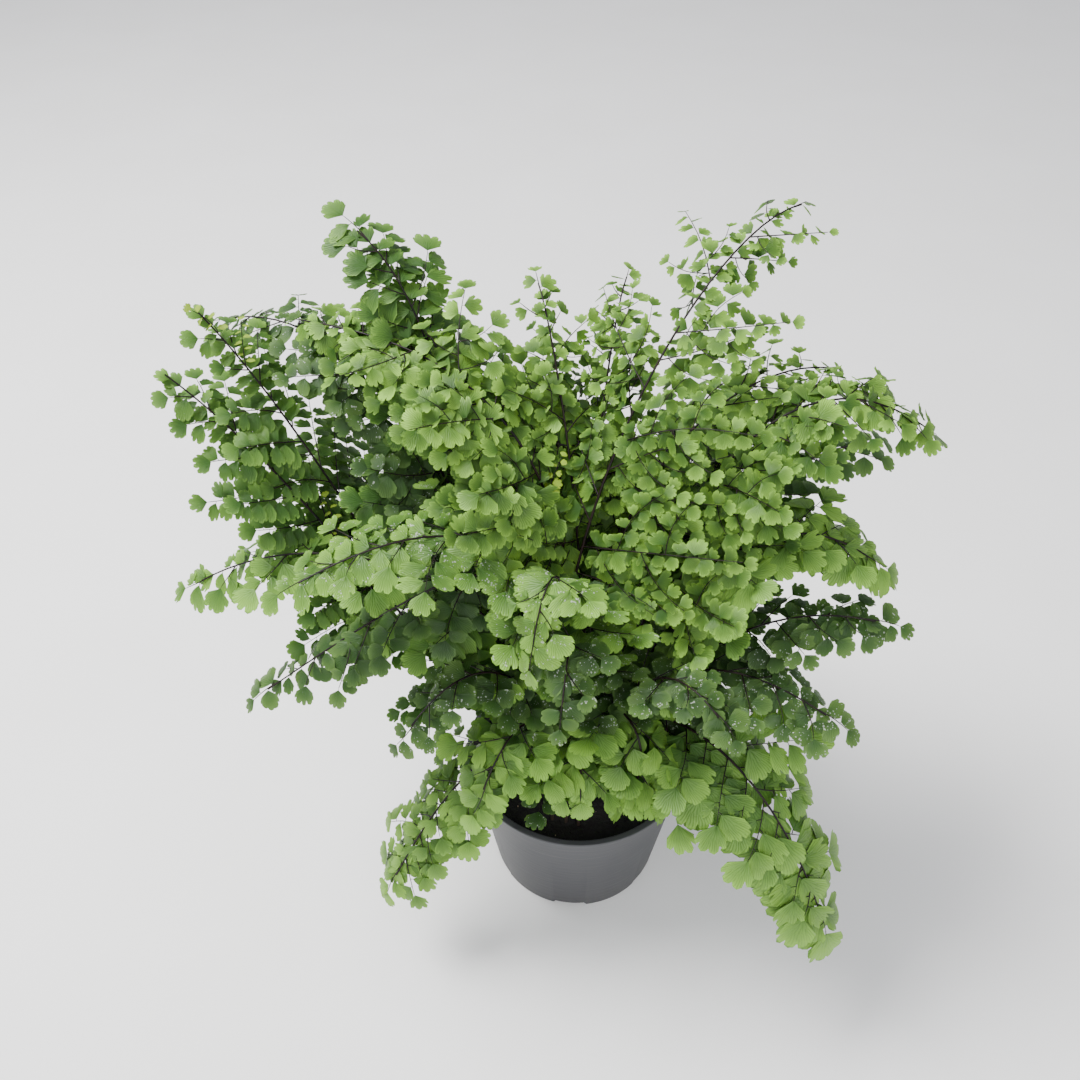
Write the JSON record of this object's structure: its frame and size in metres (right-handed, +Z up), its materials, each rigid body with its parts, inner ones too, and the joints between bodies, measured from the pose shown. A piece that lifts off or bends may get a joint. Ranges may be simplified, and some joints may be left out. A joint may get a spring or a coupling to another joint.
{
  "type": "potted fern",
  "caption": "maidenhair fern in a round plastic nursery pot: arching dark wiry fronds with alternate fan-shaped leaflets rise from the potting soil and spread past the pot's rim on all sides",
  "frame": {"origin": "centre of the flat underside of the pot, on the surface that the pot stands on", "axes": "+Z up out of the pot; +X to the right and -Y towards the viewer as the plant is seen from its front"},
  "size_m": [0.3597, 0.2648, 0.3591],
  "materials": {
    "pot_plastic": "satin",
    "potting_soil": "matte",
    "stem_black": "satin",
    "leaf_young": "satin",
    "leaf_mature": "satin",
    "leaf_old": "satin"
  },
  "bodies": {
    "root": {"pot": "pot_plastic", "soil": "potting_soil", "old_stalk_1": "stem_black", "old_stalk_2": "stem_black", "old_stalk_3": "stem_black", "frond_top_right": "leaf_young", "frond_right_arch": "leaf_young", "frond_right_mid": "leaf_mature", "frond_right_inner": "leaf_young", "frond_right_back": "leaf_old", "frond_right_low": "leaf_old", "frond_right_front": "leaf_old", "frond_front_right": "leaf_mature", "frond_front_left": "leaf_mature", "frond_left_spotted": "leaf_mature", "frond_left_middle": "leaf_mature", "frond_left_arch": "leaf_young", "frond_back_left_tall": "leaf_mature", "frond_far_left_upper": "leaf_mature", "frond_far_left": "leaf_mature", "frond_back_left_spotted": "leaf_old", "frond_left_low": "leaf_old", "frond_front_spotted": "leaf_mature", "frond_front_pale": "leaf_old", "frond_top_middle": "leaf_young", "frond_top_back": "leaf_young", "frond_front_over_rim": "leaf_mature", "frond_front_low_left": "leaf_mature", "frond_front_low": "leaf_mature", "frond_inner_right": "leaf_old", "frond_inner_left": "leaf_old", "frond_back_right": "leaf_mature", "frond_back_middle": "leaf_mature", "frond_back_low": "leaf_old", "frond_back_left": "leaf_old"}
  },
  "joints": []
}
